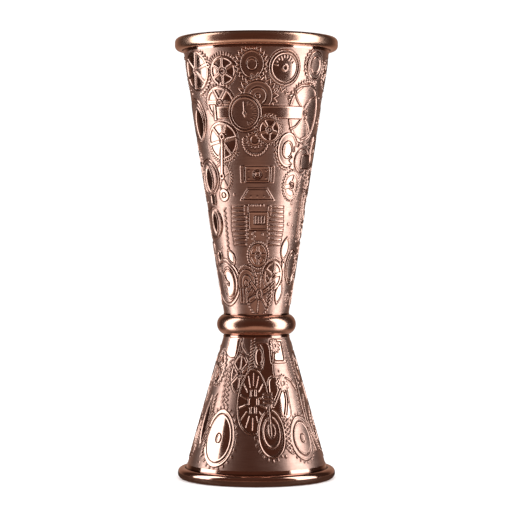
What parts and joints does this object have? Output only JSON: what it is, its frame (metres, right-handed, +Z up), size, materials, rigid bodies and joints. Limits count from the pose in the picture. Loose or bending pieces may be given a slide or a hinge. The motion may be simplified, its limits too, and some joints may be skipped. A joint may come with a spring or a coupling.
{
  "type": "bar jigger",
  "caption": "Slim double-ended bar jigger: tall and short conical cups joined floor to floor, rolled bead rims, half-round waist ring.",
  "frame": {"origin": "on the turning axis, in the plane that the lower rim stands on", "axes": "+Z up along the turning axis, from the small cup to the large cup; the part is round, so X and Y are free"},
  "size_m": [0.0482, 0.0482, 0.13],
  "materials": {
    "etched_copper": "antique copper plate over stainless steel, etched satin ground with polished relief",
    "bright_copper": "polished copper plate over stainless steel, fine upright brushing",
    "braze_filler": "silver braze, as flowed"
  },
  "bodies": {
    "root": {"upper_cup": "etched_copper", "lower_cup": "etched_copper", "waist_ring": "bright_copper", "base_braze": "braze_filler"}
  },
  "joints": []
}
